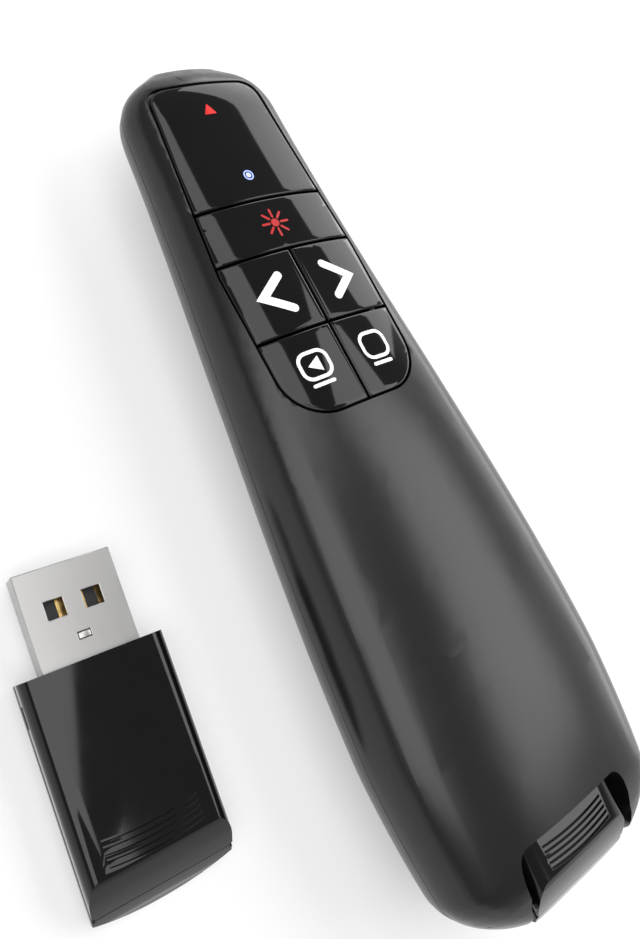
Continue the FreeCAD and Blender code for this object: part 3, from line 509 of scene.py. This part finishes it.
lamp = {"x": -0.2, "y": 43.5, "radius": 0.66, "core": 0.38, "line": 0.20, "points": 32}
bm = bmesh.new()
ringPoints = []
for k in range(lamp["points"]):
    a = 2 * math.pi * k / lamp["points"]
    ringPoints.append((lamp["x"] + lamp["radius"] * math.cos(a),
                       lamp["y"] + lamp["radius"] * math.sin(a)))
stroke(bm, ringPoints, lamp["line"], closed=True)
layMark("lampRing", bm, glowBlue, "handset")
bm = bmesh.new()
disc(bm, lamp["x"], lamp["y"], lamp["core"])
layMark("lampCore", bm, glowPale, "handset")

warning = {"x": -1.0, "y": 54.1, "size": 1.1, "round": 0.18}
bm = bmesh.new()
corners = []
for a in (0, -2 * math.pi / 3, 2 * math.pi / 3):
    corners.append((warning["x"] + warning["size"] * math.sin(a),
                    warning["y"] + warning["size"] * math.cos(a), 0))
bm.faces.new([bm.verts.new(corner) for corner in corners])
bmesh.ops.bevel(bm, geom=bm.verts[:], offset=warning["round"], affect="VERTICES", segments=3,
                profile=0.5, material=-1)
layMark("warningMark", bm, glowRed, "handset")
print("marks made")


# Shells, covers and the receivers

dressNode("upper_shell", softTouch, edge=0.22, shape=trueForm)
dressNode("lower_shell", lowerTouch, edge=0.22, shape=trueForm)
dressNode("battery_cover", lowerTouch, edge=0.22, shape=trueForm)
dressNode("power_slider", chipBlack, edge=0.25)
dressNode("laser_bezel", bezelBlack, edge=0.12)
for prefix in ("receiver", "loose_receiver"):
    dressNode(prefix + "_top_shell", glossReceiver, edge=0.16)
    dressNode(prefix + "_bottom_shell", glossReceiver, edge=0.16)
    dressNode(prefix + "_plug_shell", plugSteel, edge=0.10)
    dressNode(prefix + "_plug_tongue", tonguePlastic, edge=0.10)
    paintNode(prefix + "_plug_contacts", goldContact)
    paintNode(prefix + "_board", boardGreen)
    paintNode(prefix + "_chip", chipBlack)

# The small bent tab in each plug's upper face
# It is laid out on the stowed receiver and carried over to the loose one
latch = {"x": 0.0, "y": -29.7, "top": 18.25, "wide": 1.5, "long": 0.8, "high": 0.32, "round": 0.12,
         "loosePlace": (-43.5, -15.0), "looseDrop": 12.6, "looseTurn": -5.5, "middle": -41.5}
for prefix, body in (("receiver", "stowed_receiver"), ("loose_receiver", "loose_receiver")):
    bm = bmesh.new()
    bmesh.ops.create_cube(bm, size=1.0)
    bmesh.ops.scale(bm, vec=(latch["wide"], latch["long"], latch["high"]), verts=bm.verts)
    bmesh.ops.bevel(bm, geom=bm.edges[:], offset=latch["round"], affect="EDGES", segments=2, profile=0.5,
                    material=-1)
    bmesh.ops.translate(bm, vec=(latch["x"], latch["y"], latch["top"] - latch["high"] / 2), verts=bm.verts)
    if prefix == "loose_receiver":
        turn = Matrix.Rotation(math.radians(latch["looseTurn"]), 4, "Z")
        bmesh.ops.translate(bm, vec=(0, -latch["middle"], -latch["looseDrop"]), verts=bm.verts)
        bmesh.ops.transform(bm, matrix=turn, verts=bm.verts)
        bmesh.ops.translate(bm, vec=(*latch["loosePlace"], 0), verts=bm.verts)
    newPiece(prefix + "LatchTab", bm, plugSteel, body)

dressNode("case_screws", screwSteel, edge=0.15)
dressNode("battery_cell", cellJacket, edge=0.35, segments=3)
for nodeName, material in (("main_board", boardGreen), ("radio_chip", chipBlack), ("crystal", switchMetal),
                           ("tact_switches", switchMetal), ("status_led", ledBlue),
                           ("laser_indicator_led", ledRed), ("laser_module", brassBarrel),
                           ("laser_lens", lensGlass), ("positive_contact", springSteel),
                           ("negative_contact", springSteel), ("power_switch", switchMetal)):
    paintNode(nodeName, material)
for key in ("laser", "back", "forward", "play", "blank"):
    paintNode(key + "_plunger", plungerBlack)
print("shells and receivers dressed")


# Floor, lights and camera

def seenWhite(tree, share):
    # share for what the camera, a mirror or a glass sees, 0 for the light on the object
    paths = tree.nodes.new("ShaderNodeLightPath")
    total = paths.outputs["Is Camera Ray"]
    for ray in ("Is Glossy Ray", "Is Transmission Ray"):
        both = tree.nodes.new("ShaderNodeMath")
        both.operation = "MAXIMUM"
        tree.links.new(total, both.inputs[0])
        tree.links.new(paths.outputs[ray], both.inputs[1])
        total = both.outputs["Value"]
    part = tree.nodes.new("ShaderNodeMath")
    part.operation = "MULTIPLY"
    part.inputs[1].default_value = share
    tree.links.new(total, part.inputs[0])
    return part.outputs["Value"]


# horizon and ceiling are what the camera and reflections see of the world,
# worldLight is what it gives the object
stage = {"floorSize": 6.0, "floorDrop": 0.00005, "floorColour": 0.62, "nearGlow": 0.40, "farGlow": 1.0,
         "floorRough": 0.9, "floorShine": 0.1,
         "nearEnds": 0.22, "farStarts": 0.90, "horizon": 1.0, "ceiling": 0.26,
         "horizonEnds": 0.30, "ceilingStarts": 0.55, "worldLight": 0.14}

floorMaterial, tree, shader = newMaterial("paleFloor")
shader.inputs["Base Color"].default_value = (stage["floorColour"],) * 3 + (1,)
shader.inputs["Roughness"].default_value = stage["floorRough"]
shader.inputs["Specular IOR Level"].default_value = stage["floorShine"]
shader.inputs["Emission Color"].default_value = (1, 1, 1, 1)
spot = tree.nodes.new("ShaderNodeTexCoord")
away = tree.nodes.new("ShaderNodeVectorMath")
away.operation = "LENGTH"
glow = tree.nodes.new("ShaderNodeMapRange")  # the lamps fade with distance, so the far floor glows more
glow.interpolation_type = "SMOOTHSTEP"
glow.inputs["From Min"].default_value = stage["nearEnds"]
glow.inputs["From Max"].default_value = stage["farStarts"]
glow.inputs["To Min"].default_value = stage["nearGlow"]
glow.inputs["To Max"].default_value = stage["farGlow"]
floorSeen = tree.nodes.new("ShaderNodeMath")
floorSeen.operation = "MULTIPLY"
tree.links.new(spot.outputs["Object"], away.inputs[0])
tree.links.new(away.outputs["Value"], glow.inputs["Value"])
tree.links.new(glow.outputs["Result"], floorSeen.inputs[0])
tree.links.new(seenWhite(tree, 1.0), floorSeen.inputs[1])
tree.links.new(floorSeen.outputs["Value"], shader.inputs["Emission Strength"])
bm = bmesh.new()
bmesh.ops.create_grid(bm, x_segments=1, y_segments=1, size=stage["floorSize"] / 2)
bmesh.ops.translate(bm, vec=(0, 0, -stage["floorDrop"]), verts=bm.verts)
mesh = bpy.data.meshes.new("floor")
bm.to_mesh(mesh)
bm.free()
mesh.materials.append(floorMaterial)
floor = bpy.data.objects.new("floor", mesh)
scene.collection.objects.link(floor)

# Softboxes: the middle of each, how far round from +X it stands, its lean towards the object,
# its size and its glow
lights = {
    "leftSoft": {"place": (-0.24, -0.03, 0.50), "turn": 0, "lean": 0,
                 "size": (0.54, 0.52), "glow": 2.45},
    "noseSoft": {"place": (0.06, 0.35, 0.50), "turn": 0, "lean": 0,
                 "size": (0.13, 0.52), "glow": 2.2},
    "rightSoft": {"place": (0.435, -0.12, 0.50), "turn": 0, "lean": 0,
                  "size": (0.39, 0.48), "glow": 3.1},
    "cornerSoft": {"place": (0.36, 0.12, 0.50), "turn": 45, "lean": 0,
                   "size": (0.24, 0.24), "glow": 2.5},
    "lowSoft": {"place": (0.75, 0.00, 0.19), "turn": 0, "lean": 90,
                "size": (0.30, 0.80), "glow": 2.6},
    "frontSoft": {"place": (0.57, 0.50, 0.29), "turn": 40, "lean": 68,
                  "size": (0.42, 0.62), "glow": 2.8},
}
for name, light in lights.items():
    softbox = bpy.data.lights.new(name, "AREA")
    softbox.shape = "RECTANGLE"
    softbox.size, softbox.size_y = light["size"]
    softbox.energy = light["glow"] * math.pi * softbox.size * softbox.size_y
    holder = bpy.data.objects.new(name, softbox)
    scene.collection.objects.link(holder)
    holder.matrix_world = (Matrix.Translation(light["place"])
                           @ Matrix.Rotation(math.radians(light["turn"]), 4, "Z")
                           @ Matrix.Rotation(math.radians(light["lean"]), 4, "Y"))

world = bpy.data.worlds.new("studio")
scene.world = world
world.use_nodes = True
tree = world.node_tree
tree.nodes.clear()
output = tree.nodes.new("ShaderNodeOutputWorld")
sky = tree.nodes.new("ShaderNodeBackground")
sky.inputs["Color"].default_value = (1, 1, 1, 1)
way = tree.nodes.new("ShaderNodeTexCoord")
parts = tree.nodes.new("ShaderNodeSeparateXYZ")
fade = tree.nodes.new("ShaderNodeMapRange")
fade.interpolation_type = "SMOOTHSTEP"
fade.inputs["From Min"].default_value = stage["horizonEnds"]
fade.inputs["From Max"].default_value = stage["ceilingStarts"]
fade.inputs["To Min"].default_value = stage["horizon"]
fade.inputs["To Max"].default_value = stage["ceiling"]
seen = tree.nodes.new("ShaderNodeMath")
seen.operation = "MULTIPLY"
lift = tree.nodes.new("ShaderNodeMath")
lift.operation = "MAXIMUM"
lift.inputs[1].default_value = stage["worldLight"]
tree.links.new(way.outputs["Generated"], parts.inputs["Vector"])
tree.links.new(parts.outputs["Z"], fade.inputs["Value"])
tree.links.new(fade.outputs["Result"], seen.inputs[0])
tree.links.new(seenWhite(tree, 1.0), seen.inputs[1])
tree.links.new(seen.outputs["Value"], lift.inputs[0])
tree.links.new(lift.outputs["Value"], sky.inputs["Strength"])
tree.links.new(sky.outputs["Background"], output.inputs["Surface"])

view = {
    "place": (-0.063083, -0.003530, 0.105302),
    "turns": (-0.54448, 0.05969, -0.45057),
    "focalPixels": 800, "frameHigh": 939, "sensor": 36, "clipStart": 0.005,
}
camera = bpy.data.cameras.new("photoCamera")
camera.lens = view["focalPixels"] / view["frameHigh"] * view["sensor"]
camera.sensor_width = view["sensor"]
camera.clip_start = view["clipStart"]
holder = bpy.data.objects.new("photoCamera", camera)
scene.collection.objects.link(holder)
aboutY, aboutX, aboutZ = view["turns"]
holder.matrix_world = (Matrix.Translation(view["place"])
                       @ Matrix.Rotation(aboutY, 4, "Y")
                       @ Matrix.Rotation(aboutX, 4, "X")
                       @ Matrix.Rotation(aboutZ, 4, "Z"))
scene.camera = holder
scene.view_settings.view_transform = "Standard"
print("stage set")
